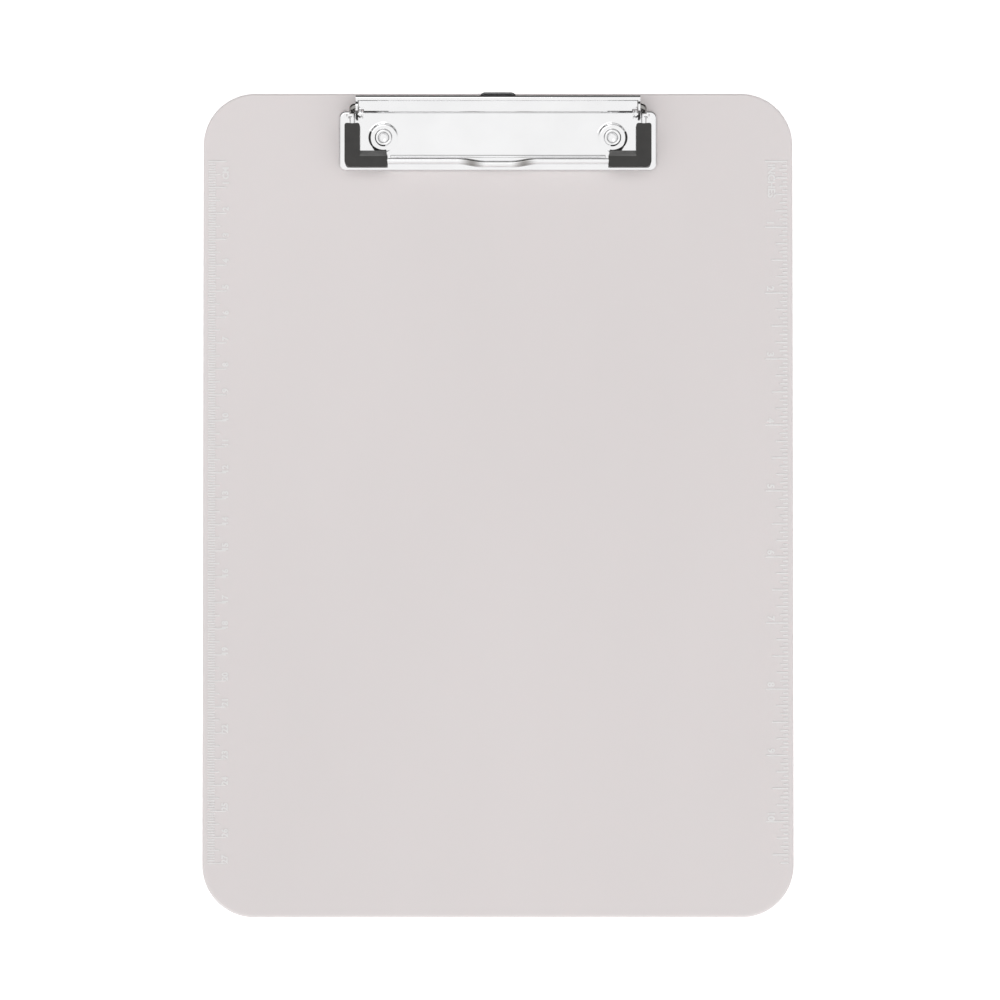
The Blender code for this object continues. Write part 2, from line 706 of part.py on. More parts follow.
def build():
    clear_scene()
    parts = new_collection("clipboard")
    cutters = new_collection("cutters", hidden=True)
    plastic = material("frosted_plastic", (0.74, 0.70, 0.70), 0.45, 0.0)
    chrome = material("chromed_steel", (0.82, 0.82, 0.83), 0.12, 1.0)
    rubber = material("black_rubber", (0.03, 0.03, 0.03), 0.6, 0.0)
    board = make_board(parts, cutters)
    plate = make_base_plate(parts, cutters)
    lever = make_lever(parts, cutters)
    wire = make_wire(parts)
    sleeves = make_sleeves(parts, cutters)
    tab = make_hang_tab(parts, cutters)
    guide = make_tab_guide(parts, cutters)
    rivets = make_rivets(parts)
    pins = make_pins(parts)
    finish_pieces([board], plastic)
    finish_pieces([plate, lever, wire, tab, guide, *rivets, *pins], chrome)
    finish_pieces(sleeves, rubber)
    lever_hinge = hang_on("lever_hinge", (0, hinge_y, hinge_z), [lever, guide], parts)
    tab_slide = hang_on("tab_slide", roll_start, [tab], parts)
    tab_slide.parent = lever_hinge
    tab_slide.matrix_parent_inverse = lever_hinge.matrix_world.inverted()
    hang_on("jaw_hinge", (0, jaw_hinge_y, wire_z), [wire, *sleeves], parts)


build()
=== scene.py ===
import json
import math

import bmesh
import bpy
from bpy.props import FloatProperty, FloatVectorProperty, IntProperty, PointerProperty
from bpy.types import Operator, Panel, PropertyGroup
from mathutils import Matrix, Vector


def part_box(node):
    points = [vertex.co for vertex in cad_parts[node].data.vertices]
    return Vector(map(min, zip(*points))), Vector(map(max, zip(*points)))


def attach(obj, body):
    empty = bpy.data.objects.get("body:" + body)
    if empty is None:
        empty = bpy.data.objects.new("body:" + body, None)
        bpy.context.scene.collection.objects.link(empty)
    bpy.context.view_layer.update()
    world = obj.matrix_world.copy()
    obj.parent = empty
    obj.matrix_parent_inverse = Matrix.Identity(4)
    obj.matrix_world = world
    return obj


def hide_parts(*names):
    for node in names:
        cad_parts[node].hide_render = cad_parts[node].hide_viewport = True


bl_info = {
    "name": "Letter clipboard",
    "version": (1, 0, 0),
    "blender": (4, 5, 0),
    "location": "3D View > Sidebar > Clipboard",
    "description": "Builds a frosted clipboard with moulded rulers and a low chromed wire clip",
    "category": "Add Mesh",
}

MM = 0.001
SMALL = 1e-6
SIDES = {"left": -1, "right": 1}

# The frame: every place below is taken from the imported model.
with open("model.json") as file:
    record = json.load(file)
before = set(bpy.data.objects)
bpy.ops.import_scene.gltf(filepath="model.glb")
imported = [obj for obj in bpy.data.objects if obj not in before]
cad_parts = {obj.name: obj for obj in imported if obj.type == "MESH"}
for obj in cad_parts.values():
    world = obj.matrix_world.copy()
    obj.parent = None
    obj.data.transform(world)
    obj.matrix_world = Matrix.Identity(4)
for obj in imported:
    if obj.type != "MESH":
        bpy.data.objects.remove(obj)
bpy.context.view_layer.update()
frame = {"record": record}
board_low, board_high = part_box("board")
plate_low, plate_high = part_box("base_plate")
lever_low, lever_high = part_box("lever")
wire_low, wire_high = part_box("wire_jaw")
sleeve_low, sleeve_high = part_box("sleeve_right")
rivet_low, rivet_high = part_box("rivet_right")
pin_low, pin_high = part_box("pivot_pin_right")
joints = {joint["name"]: joint for joint in frame["record"]["behaviour"]["joints"]}
lever_hinge = Vector(joints["lever_press"]["pos_m"])
jaw_hinge = Vector(joints["jaw_lift"]["pos_m"])
up_panel = Vector(joints["tab_slide"]["axis"]).normalized()
off_panel = Vector((0, up_panel.z, -up_panel.y))

# Sheet metal
SHEET = 0.8 * MM
GAP = 0.3 * MM
PLATE_RISE = 1.2 * MM
BOSS_RISE = 0.6 * MM
BOSS_FOOT_RADIUS = 6.1 * MM
BOSS_CROWN_RADIUS = 4.6 * MM
PANEL_LENGTH = 6.1 * MM
NOTCH_UP_PANEL = 1.15 * MM  # from the knee to the notches' top
NOTCH_LENGTH = 8.0 * MM
EAR_RADIUS = 1.5 * MM
EAR_BASE = 2.2 * MM
RIVET_HOLE = 2.7 * MM  # radius in the board and the plate
PIN_BORE = 1.05 * MM  # radius in the ears and the cheeks
PIN_HEAD_THICK = 0.5 * MM
HOOK_CHEEK_RADIUS = 2.2 * MM
EDGE_TURN = math.radians(255.0)  # of the lever's rolled edge
TAB_HALF = 6.9 * MM
TAB_SHOULDER = 1.3 * MM
TAB_PROUD = 1.3 * MM
TAB_SLOT_WIDTH = 8.0 * MM
TAB_SLOT_HEIGHT = 3.4 * MM
deck = plate_low.z + PLATE_RISE
knee = lever_hinge + Vector((0, 1.55 * MM, -0.3 * MM))
foot = lever_hinge + Vector((0, 0.95 * MM, -1.05 * MM))
roll_start = knee + up_panel * PANEL_LENGTH
cheek_out = lever_high.x
cheek_in = cheek_out - SHEET
cheek_radius = lever_hinge.z - lever_low.z
ear_out = cheek_in - 0.4 * MM
ear_in = ear_out - SHEET
rivet_spot = (rivet_low + rivet_high) / 2
wire_radius = jaw_hinge.z - wire_low.z
wire_x = wire_high.x - wire_radius
hook = Vector((0, wire_high.y - wire_radius, wire_high.z - wire_radius))
sleeve_side = sleeve_high.x - wire_x
sleeve_half = wire_radius + 1.45 * MM
wire_front = sleeve_low.y + sleeve_half


# ---------------------------------------------------------------- settings


def length(name, description, default):
    return FloatProperty(
        name=name, description=description, default=default, min=0.0, unit="LENGTH"
    )


def colour(name, description, default):
    return FloatVectorProperty(
        name=name,
        description=description,
        default=default,
        subtype="COLOR",
        size=3,
        min=0.0,
        max=1.0,
    )


class BoardSettings(PropertyGroup):
    corner_radius: length("Corner radius", "Radius of the board's four corners", 20.0 * MM)
    rim_radius: length("Rim radius", "Rounding of the board's edge", 1.0 * MM)
    relief: length("Relief", "Height of the moulded ruler marks", 0.14 * MM)
    plastic: colour("Plastic", "Colour of the frosted plastic", (0.805, 0.760, 0.758))
    plastic_light: colour("Light plastic", "Colour of the raised marks", (0.96, 0.94, 0.935))


class ClipSettings(PropertyGroup):
    edge_break: length("Edge break", "Rounding of the sheet metal's edges", 0.12 * MM)
    roll_radius: length("Roll radius", "Mid-sheet radius of the lever's rolled edge", 0.66 * MM)
    bow_depth: length("Bow depth", "How far the wire's middle bows forward", 1.2 * MM)
    bow_half: length("Bow half width", "Half the width of the wire's bow", 15.5 * MM)
    bow_flat: length("Bow flat", "Half the width of the bow's straight middle", 4.5 * MM)
    wire_sides: IntProperty(
        name="Wire sides", description="Facets round the wire", default=32, min=8
    )
    chrome: colour("Chrome", "Colour of the plating", (0.90, 0.90, 0.905))
    # The next colour is painted shade: a dark tone that the wire's material mixes in beside the
    # bow's bends and at the hooks, standing in for dark reflections.
    painted_shade_wire: colour("Painted shade wire", "Colour of the plating at the wire's bends", (0.34, 0.33, 0.32))
    # The next colour is painted shade: a darker copy of the chrome for the hang tab, standing in
    # for the dark reflections on its front face.
    steel: colour("Steel", "Colour of the hang tab's duller steel", (0.26, 0.26, 0.265))
    rubber: colour("Rubber", "Colour of the sleeves", (0.042, 0.0405, 0.039))
    # The next colour is a painted sheen: a lighter rubber for the sleeves' lip faces that look up
    # and back, where light falls on them.
    painted_sheen_rubber: colour("Painted sheen rubber", "Colour of the sleeves' rubbed lips", (0.145, 0.143, 0.141))


class StageSettings(PropertyGroup):
    distance: length("Camera distance", "From the camera to the board", 2.2)
    width: length("View width", "Width of the view at the board", 384.5 * MM)
    tilt: FloatProperty(
        name="Tilt",
        description="Lean of the view from straight down",
        default=math.radians(2.0),
        subtype="ANGLE",
    )
    aim: FloatVectorProperty(
        name="Aim",
        description="Point at the centre of the view",
        default=(0.77 * MM, 1.73 * MM, 2.5 * MM),
        unit="LENGTH",
    )
    key_power: FloatProperty(
        name="Key power", description="Power of the soft key light", default=1.5, unit="POWER"
    )


# ---------------------------------------------------------------- mesh tools


def block(low, high, radius=0.0, segments=1):
    """A box between two corners, with its upright edges rounded when a radius is given."""
    low = Vector(low)
    high = Vector(high)
    bm = bmesh.new()
    bmesh.ops.create_cube(bm, size=1.0)
    bmesh.ops.scale(bm, vec=high - low, verts=bm.verts)
    bmesh.ops.translate(bm, vec=(low + high) / 2, verts=bm.verts)
    if radius:
        upright = [e for e in bm.edges if abs(e.verts[0].co.z - e.verts[1].co.z) > SMALL]
        soften(bm, upright, radius, segments)
    return bm


def soften(bm, edges, width, segments):
    bmesh.ops.bevel(
        bm, geom=edges, offset=width, segments=segments, profile=0.5, affect="EDGES", material=-1
    )


def rim_edges(bm, height):
    """The edges of a flat rim at one height, between a level face and a side."""
    rim = []
    for edge in bm.edges:
        level = all(abs(v.co.z - height) < SMALL for v in edge.verts)
        if level and edge.calc_face_angle(0) > math.radians(30):
            rim.append(edge)
    return rim


def bar(radius, start, end, segments=48, end_radius=None):
    """A cylinder or cone between two points."""
    start = Vector(start)
    end = Vector(end)
    turn = (end - start).to_track_quat("Z", "Y").to_matrix().to_4x4()
    bm = bmesh.new()
    bmesh.ops.create_cone(
        bm,
        cap_ends=True,
        segments=segments,
        radius1=radius,
        radius2=radius if end_radius is None else end_radius,
        depth=(end - start).length,
        matrix=Matrix.Translation((start + end) / 2) @ turn,
    )
    return bm


def turned(profile, steps=64):
    """A solid turned about Z from (radius, height) points that start and end on the axis."""
    bm = bmesh.new()
    verts = [bm.verts.new((radius, 0, height)) for radius, height in profile]
    edges = [bm.edges.new(pair) for pair in zip(verts, verts[1:])]
    bmesh.ops.spin(
        bm,
        geom=verts + edges,
        cent=(0, 0, 0),
        axis=(0, 0, 1),
        dvec=(0, 0, 0),
        angle=math.tau,
        steps=steps,
        use_merge=True,
    )
    bmesh.ops.remove_doubles(bm, verts=bm.verts, dist=SMALL)
    bmesh.ops.recalc_face_normals(bm, faces=bm.faces)
    return bm


def extruded(outline, depth, place):
    """A closed outline of (u, v) points, extruded along w; place maps (u, v, w) to the object."""
    bm = bmesh.new()
    face = bm.faces.new([bm.verts.new((u, v, 0)) for u, v in outline])
    grown = bmesh.ops.extrude_face_region(bm, geom=[face])
    far = [item for item in grown["geom"] if isinstance(item, bmesh.types.BMVert)]
    bmesh.ops.translate(bm, vec=(0, 0, depth), verts=far)
    bmesh.ops.transform(bm, matrix=place, verts=bm.verts)
    bmesh.ops.recalc_face_normals(bm, faces=bm.faces)
    return bm


def arc_points(before, corner, after, radius, segments):
    """The points of a bend of one radius between two straight runs."""
    into = (corner - before).normalized()
    out = (after - corner).normalized()
    turn = into.angle(out)
    if turn < SMALL or not radius:
        return [corner]
    start = corner - into * radius * math.tan(turn / 2)
    inward = (out - into * into.dot(out)).normalized()
    points = []
    for step in range(segments + 1):
        angle = turn * step / segments
        points.append(start + (into * math.sin(angle) + inward * (1 - math.cos(angle))) * radius)
    return points


def rounded(corners, segments=10):
    """A path through (point, bend radius) corners."""
    points = [corners[0][0]]
    for (before, _), (corner, radius), (after, _) in zip(corners, corners[1:], corners[2:]):
        points += arc_points(before, corner, after, radius, segments)
    points.append(corners[-1][0])
    return points


def swept(points, radius, sides):
    """A round bar: a ring that is extruded along the path, point by point."""
    tangents = []
    for i in range(len(points)):
        ahead = points[min(i + 1, len(points) - 1)] - points[i]
        behind = points[i] - points[max(i - 1, 0)]
        tangents.append((ahead.normalized() + behind.normalized()).normalized())
    bm = bmesh.new()
    turn = tangents[0].to_track_quat("Z", "Y").to_matrix().to_4x4()
    start = Matrix.Translation(points[0]) @ turn
    bmesh.ops.create_circle(bm, cap_ends=False, radius=radius, segments=sides, matrix=start)
    edges = list(bm.edges)
    first = list(edges)
    for i in range(1, len(points)):
        grown = bmesh.ops.extrude_edge_only(bm, edges=edges)["geom"]
        ring = [item for item in grown if isinstance(item, bmesh.types.BMVert)]
        fresh = set(ring)
        edges = [e for e in grown if isinstance(e, bmesh.types.BMEdge) and set(e.verts) <= fresh]
        spin = tangents[i - 1].rotation_difference(tangents[i]).to_matrix().to_4x4()
        move = Matrix.Translation(points[i]) @ spin @ Matrix.Translation(-points[i - 1])
        bmesh.ops.transform(bm, matrix=move, verts=ring)
    caps = bmesh.ops.edgeloop_fill(bm, edges=first)["faces"]
    caps += bmesh.ops.edgeloop_fill(bm, edges=edges)["faces"]
    bmesh.ops.recalc_face_normals(bm, faces=bm.faces)
    soften(bm, [e for face in caps for e in face.edges], radius / 4, 3)
    return bm


def rounded_outline(corners, segments):
    """A closed outline through (u, v, bend radius) corners."""
    spots = [Vector((u, v, 0)) for u, v, _ in corners]
    outline = []
    for i, (_, _, radius) in enumerate(corners):
        after = spots[(i + 1) % len(spots)]
        bend = arc_points(spots[i - 1], spots[i], after, radius, segments)
        outline += [(point.x, point.y) for point in bend]
    return outline


def as_object(name, bm):
    mesh = bpy.data.meshes.new(name)
    bm.to_mesh(mesh)
    bm.free()
    obj = bpy.data.objects.new(name, mesh)
    bpy.context.scene.collection.objects.link(obj)
    return obj


def settle(obj):
    """Applies an object's modifiers to its mesh."""
    graph = bpy.context.evaluated_depsgraph_get()
    mesh = bpy.data.meshes.new_from_object(obj.evaluated_get(graph))
    obj.modifiers.clear()
    obj.data = mesh
    return obj


def combine(obj, tools, operation):
    """Joins or cuts obj by each bmesh in tools."""
    helpers = []
    for tool in tools:
        helper = as_object(obj.name + "_tool", tool)
        helpers.append(helper)
        modifier = obj.modifiers.new("tool", "BOOLEAN")
        modifier.operation = operation
        modifier.solver = "EXACT"
        modifier.object = helper
    settle(obj)
    for helper in helpers:
        bpy.data.objects.remove(helper)
    return obj


def drop_slivers(obj):
    """Closes the hairline faces that a cut along an existing face can leave."""
    reach = 0.01 * MM
    bm = bmesh.new()
    bm.from_mesh(obj.data)
    bmesh.ops.remove_doubles(bm, verts=bm.verts, dist=reach)
    bmesh.ops.dissolve_degenerate(bm, edges=bm.edges, dist=reach)
    loose = [vert for vert in bm.verts if not vert.link_faces]
    bmesh.ops.delete(bm, geom=loose, context="VERTS")
    bm.to_mesh(obj.data)
    bm.free()
    return obj


def edge_break(obj, width, segments=2, angle=50.0):
    modifier = obj.modifiers.new("edge_break", "BEVEL")
    modifier.width = width
    modifier.segments = segments
    modifier.limit_method = "ANGLE"
    modifier.angle_limit = math.radians(angle)
    return obj


def finish_piece(obj, body, finish, replaced=(), smooth_angle=35.0):
    """Shades a piece, gives it its finish and puts it on its body."""
    mesh = obj.data
    mesh.materials.clear()
    mesh.materials.append(finish)
    mesh.shade_smooth()
    mesh.set_sharp_from_angle(angle=math.radians(smooth_angle))
    normals = obj.modifiers.new("normals", "WEIGHTED_NORMAL")
    normals.weight = 100
    normals.keep_sharp = True
    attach(obj, body)
    if replaced:
        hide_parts(*replaced)
    return obj


# ---------------------------------------------------------------- finishes


class Wiring:
    """Adds nodes to a material from left to right."""

    def __init__(self, name):
        self.material = bpy.data.materials.new(name)
        self.material.use_nodes = True
        self.tree = self.material.node_tree
        self.shader = self.tree.nodes["Principled BSDF"]
        self.object_place = self.node("ShaderNodeTexCoord").outputs["Object"]

    def node(self, kind, **settings):
        made = self.tree.nodes.new(kind)
        for key, value in settings.items():
            setattr(made, key, value)
        return made

    def link(self, source, target):
        self.tree.links.new(source, target)

    def stretched(self, scale):
        mapping = self.node("ShaderNodeMapping")
        mapping.inputs["Scale"].default_value = scale
        self.link(self.object_place, mapping.inputs["Vector"])
        return mapping.outputs["Vector"]

    def noise(self, scale, detail=2.0, place=None):
        made = self.node("ShaderNodeTexNoise")
        made.inputs["Scale"].default_value = scale
        made.inputs["Detail"].default_value = detail
        self.link(place or self.object_place, made.inputs["Vector"])
        return made.outputs["Fac"]

    def spread(self, source, low, high, from_low=0.3, from_high=0.7):
        """Maps a noise to a range."""
        made = self.node("ShaderNodeMapRange")
        made.inputs["From Min"].default_value = from_low
        made.inputs["From Max"].default_value = from_high
        made.inputs["To Min"].default_value = low
        made.inputs["To Max"].default_value = high
        self.link(source, made.inputs["Value"])
        return made.outputs["Result"]

    def blend(self, source, first, second):
        """A colour between two, by a noise."""
        ramp = self.node("ShaderNodeValToRGB")
        ramp.color_ramp.elements[0].position = 0.3
        ramp.color_ramp.elements[1].position = 0.7
        ramp.color_ramp.elements[0].color = (*first, 1)
        ramp.color_ramp.elements[1].color = (*second, 1)
        self.link(source, ramp.inputs["Fac"])
        return ramp.outputs["Color"]

    def bump(self, source, strength, distance, under=None):
        made = self.node("ShaderNodeBump")
        made.inputs["Strength"].default_value = strength
        made.inputs["Distance"].default_value = distance
        self.link(source, made.inputs["Height"])
        if under:
            self.link(under, made.inputs["Normal"])
        return made.outputs["Normal"]

    def set(self, **values):
        for key, value in values.items():
            self.shader.inputs[key.replace("_", " ")].default_value = value


def shade(tone, factor):
    return tuple(min(1.0, part * factor) for part in tone)


def frosted_plastic(name, tone):
    """Translucent moulded plastic with a fine matt grain and faint flow marks."""
    made = bpy.data.materials.get(name)
    if made:
        return made
    wiring = Wiring(name)
    flow = wiring.noise(9.0, 3.0, wiring.stretched((1.0, 0.35, 1.0)))
    grain = wiring.noise(2600.0, 3.0)
    pebble = wiring.noise(900.0, 2.0)
    mottled = wiring.blend(flow, shade(tone, 0.985), shade(tone, 1.015))
    wiring.link(mottled, wiring.shader.inputs["Base Color"])
    wiring.link(wiring.spread(pebble, 0.40, 0.52), wiring.shader.inputs["Roughness"])
    fine = wiring.bump(grain, 0.22, 0.03 * MM)
    wiring.link(wiring.bump(pebble, 0.12, 0.06 * MM, fine), wiring.shader.inputs["Normal"])
    wiring.set(IOR=1.49, Specular_IOR_Level=0.45, Subsurface_Weight=0.25, Subsurface_Scale=1.5 * MM)
    wiring.shader.inputs["Subsurface Radius"].default_value = (1.0, 0.95, 0.95)
    return wiring.material


def chromed_steel(name, tone, roughness=0.05, ripple=0.10):
    """Bright plating over pressed steel: faint ripples, fine scratches and hazy patches."""
    made = bpy.data.materials.get(name)
    if made:
        return made
    wiring = Wiring(name)
    haze = wiring.noise(70.0, 4.0)
    wave = wiring.noise(55.0, 1.0)
    long_scratch = wiring.noise(1.0, 2.0, wiring.stretched((160.0, 5200.0, 5200.0)))
    cross_scratch = wiring.noise(1.0, 2.0, wiring.stretched((5200.0, 260.0, 900.0)))
    pits = wiring.noise(3200.0, 1.0)
    mottled = wiring.blend(haze, shade(tone, 0.975), shade(tone, 1.02))
    wiring.link(mottled, wiring.shader.inputs["Base Color"])
    wiring.link(wiring.spread(haze, roughness, roughness + 0.05), wiring.shader.inputs["Roughness"])
    normal = wiring.bump(wave, ripple, 0.25 * MM)
    for wear, low, high, strength in (
        (long_scratch, 0.60, 0.72, 0.05),
        (cross_scratch, 0.64, 0.74, 0.04),
        (pits, 0.66, 0.76, 0.05),
    ):
        normal = wiring.bump(wiring.spread(wear, 0.0, 1.0, low, high), strength, 0.01 * MM, normal)
    wiring.link(normal, wiring.shader.inputs["Normal"])
    wiring.set(Metallic=1.0)
    return wiring.material


def black_rubber(name, tone):
    """Soft moulded rubber with a dry bloom and a fine pebble."""
    made = bpy.data.materials.get(name)
    if made:
        return made
    wiring = Wiring(name)
    bloom = wiring.noise(260.0, 4.0)
    pebble = wiring.noise(3000.0, 3.0)
    mottled = wiring.blend(bloom, shade(tone, 0.85), shade(tone, 1.2))
    wiring.link(mottled, wiring.shader.inputs["Base Color"])
    wiring.link(wiring.spread(bloom, 0.46, 0.62), wiring.shader.inputs["Roughness"])
    wiring.link(wiring.bump(pebble, 0.30, 0.04 * MM), wiring.shader.inputs["Normal"])
    wiring.set(Specular_IOR_Level=0.35, IOR=1.5)
    return wiring.material


def wire_with_painted_shade(name, tone, painted_shade, bend_x, reach, hook_y):
    """Drawn chrome wire with painted shade: its colour darkens beside the bends of the middle's bow
    and at the hooks, standing in for the dark reflections there.
    """
    material = chromed_steel(name, tone, 0.13)
    tree = material.node_tree
    shader = tree.nodes["Principled BSDF"]
    place = tree.nodes["Texture Coordinate"].outputs["Object"]
    plating = shader.inputs["Base Color"].links[0].from_socket
    parts = tree.nodes.new("ShaderNodeSeparateXYZ")
    maths = []
    for operation in ("ABSOLUTE", "SUBTRACT", "ABSOLUTE", "MAXIMUM"):
        maths.append(tree.nodes.new("ShaderNodeMath"))
        maths[-1].operation = operation
    across, offset, near, either = maths
    offset.inputs[1].default_value = bend_x
    fade = tree.nodes.new("ShaderNodeMapRange")
    fade.interpolation_type = "SMOOTHSTEP"
    fade.inputs["From Max"].default_value = reach
    fade.inputs["To Min"].default_value = 1.0
    fade.inputs["To Max"].default_value = 0.0
    hooks = tree.nodes.new("ShaderNodeMapRange")
    hooks.interpolation_type = "SMOOTHSTEP"
    hooks.inputs["From Min"].default_value = hook_y
    hooks.inputs["From Max"].default_value = hook_y + 1.0 * MM
    # Mixes the painted shade into the plating colour beside the bow's bends and at the hooks.
    mix = tree.nodes.new("ShaderNodeMix")
    mix.data_type = "RGBA"
    mix.inputs["B"].default_value = (*painted_shade, 1)
    for source, target in (
        (place, parts.inputs["Vector"]),
        (parts.outputs["X"], across.inputs[0]),
        (across.outputs["Value"], offset.inputs[0]),
        (offset.outputs["Value"], near.inputs[0]),
        (near.outputs["Value"], fade.inputs["Value"]),
        (parts.outputs["Y"], hooks.inputs["Value"]),
        (fade.outputs["Result"], either.inputs[0]),
        (hooks.outputs["Result"], either.inputs[1]),
        (either.outputs["Value"], mix.inputs["Factor"]),
        (plating, mix.inputs["A"]),
        (mix.outputs["Result"], shader.inputs["Base Color"]),
    ):
        tree.links.new(source, target)
    return material


def chrome():
    return chromed_steel("chrome_plating", bpy.context.scene.clip_settings.chrome)


# ---------------------------------------------------------------- pieces


class CLIPBOARD_OT_board(Operator):
    """Make the frosted board with its rounded rim and rivet recesses"""

    bl_idname = "clipboard.board"
    bl_label = "Board"

    def execute(self, context):
        sizes = context.scene.board_settings
        bm = block(board_low, board_high, sizes.corner_radius, 28)
        soften(bm, rim_edges(bm, board_high.z) + rim_edges(bm, board_low.z), sizes.rim_radius, 6)
        board = as_object("board_shell", bm)
        recess_radius = (rivet_high.x - rivet_low.x) / 2 + GAP
        recess = rivet_low.z + SHEET + GAP
        cuts = []
        for sign in SIDES.values():
            spot = Vector((sign * rivet_spot.x, rivet_spot.y, -GAP))
            cuts.append(bar(RIVET_HOLE, spot, spot + Vector((0, 0, board_high.z + 2 * GAP)), 64))
            cuts.append(bar(recess_radius, spot, spot + Vector((0, 0, recess + GAP)), 64))
        combine(board, cuts, "DIFFERENCE")
        plastic = frosted_plastic("frosted_board", sizes.plastic)
        finish_piece(board, "board_unit", plastic, ["board"])
        return {"FINISHED"}


def relief_bar(low_x, high_x, y, width):
    """One raised ruler mark, with its top edges eased."""
    relief = bpy.context.scene.board_settings.relief
    low = Vector((min(low_x, high_x), y - width / 2, board_high.z - relief))
    high = Vector((max(low_x, high_x), y + width / 2, board_high.z + relief))
    bm = block(low, high)
    soften(bm, rim_edges(bm, high.z), relief * 0.7, 1)
    return bm


def relief_text(text, size, centre, turn):
    """Raised figures, turned in the board's plane and centred."""
    relief = bpy.context.scene.board_settings.relief
    data = bpy.data.curves.new("figures", "FONT")
    data.body = text
    data.size = size
    data.extrude = relief
    data.offset = 0.13 * MM
    data.align_x = "CENTER"
    data.align_y = "CENTER"
    data.resolution_u = 3
    obj = bpy.data.objects.new("figures", data)
    bpy.context.scene.collection.objects.link(obj)
    graph = bpy.context.evaluated_depsgraph_get()
    graph.update()
    mesh = obj.evaluated_get(graph).to_mesh()
    bm = bmesh.new()
    bm.from_mesh(mesh)
    bpy.data.objects.remove(obj)
    bmesh.ops.remove_doubles(bm, verts=bm.verts, dist=SMALL)
    low = Vector((min(v.co.x for v in bm.verts), min(v.co.y for v in bm.verts), 0))
    high = Vector((max(v.co.x for v in bm.verts), max(v.co.y for v in bm.verts), 0))
    bmesh.ops.translate(bm, vec=-(low + high) / 2, verts=bm.verts)
    place = Matrix.Translation(Vector((*centre, board_high.z))) @ Matrix.Rotation(turn, 4, "Z")
    bmesh.ops.transform(bm, matrix=place, verts=bm.verts)
    return bm


def gather(parts):
    """One bmesh from many."""
    whole = bmesh.new()
    for part in parts:
        mesh = bpy.data.meshes.new("part")
        part.to_mesh(mesh)
        part.free()
        whole.from_mesh(mesh)
        bpy.data.meshes.remove(mesh)
    bmesh.ops.recalc_face_normals(whole, faces=whole.faces)
    return whole


RULER_ZERO = 132.3 * MM  # height of both zero lines above the board's centre
RULER_INSET = 2.0 * MM  # from the board's long edges
MARK_WIDTH = 0.62 * MM
INCH = 25.4 * MM
INCH_RUN = 170  # sixteenths
INCH_MARKS = {16: 8.6 * MM, 8: 6.2 * MM, 4: 4.6 * MM, 2: 3.1 * MM, 1: 1.9 * MM}
CM_RUN = 270  # millimetres
CM_MARKS = {10: 7.0 * MM, 5: 4.6 * MM, 1: 2.8 * MM}


def ruler(name, sign, run, pitch, marks, width, figures, label):
    """Marks along one long edge: their lengths by step, the longest first, with figures there."""
    edge = board_high.x - RULER_INSET
    turn = -sign * math.pi / 2
    whole = max(marks)
    size, inward, rise = figures
    parts = []
    for step in range(run + 1):
        reach = next(marks[every] for every in marks if step % every == 0)
        y = RULER_ZERO - step * pitch
        parts.append(relief_bar(sign * edge, sign * (edge - reach), y, width))
        if step and step % whole == 0:
            spot = (sign * (edge - inward), y + rise)
            parts.append(relief_text(str(step // whole), size, spot, turn))
    text, size, inward, drop = label
    parts.append(relief_text(text, size, (sign * (edge - inward), RULER_ZERO - drop), turn))
    light = frosted_plastic("polished_relief", bpy.context.scene.board_settings.plastic_light)
    finish_piece(as_object(name, gather(parts)), "board_unit", light)


class CLIPBOARD_OT_rulers(Operator):
    """Make the raised inch and centimetre rulers along the board's long edges"""

    bl_idname = "clipboard.rulers"
    bl_label = "Rulers"

    def execute(self, context):
        figures = (3.7 * MM, 6.6 * MM, 1.75 * MM)
        label = ("INCHES", 3.8 * MM, 6.1 * MM, 7.6 * MM)
        ruler("inch_ruler", 1, INCH_RUN, INCH / 16, INCH_MARKS, MARK_WIDTH, figures, label)
        figures = (3.2 * MM, 6.6 * MM, 1.6 * MM)
        label = ("CM", 3.2 * MM, 6.6 * MM, 4.6 * MM)
        ruler("centimetre_ruler", -1, CM_RUN, MM, CM_MARKS, MARK_WIDTH * 0.8, figures, label)
        return {"FINISHED"}


def flared_boss(sign):
    """A pressed boss whose foot flares into the deck."""
    foot_radius = BOSS_FOOT_RADIUS
    crown_radius = BOSS_CROWN_RADIUS
    sunk = -GAP
    skirt = 0.01 * MM
    profile = [(0, sunk), (foot_radius, sunk), (foot_radius, skirt)]
    steps = 8
    for step in range(1, steps + 1):
        along = step / steps
        rise = BOSS_RISE * (1 - math.cos(math.pi * along)) / 2
        profile.append((foot_radius + (crown_radius - foot_radius) * along, skirt + rise))
    profile += [(crown_radius - 0.3 * MM, BOSS_RISE), (0, BOSS_RISE)]
    bm = turned(profile, 72)
    bmesh.ops.translate(bm, vec=(sign * rivet_spot.x, rivet_spot.y, deck), verts=bm.verts)
    return bm


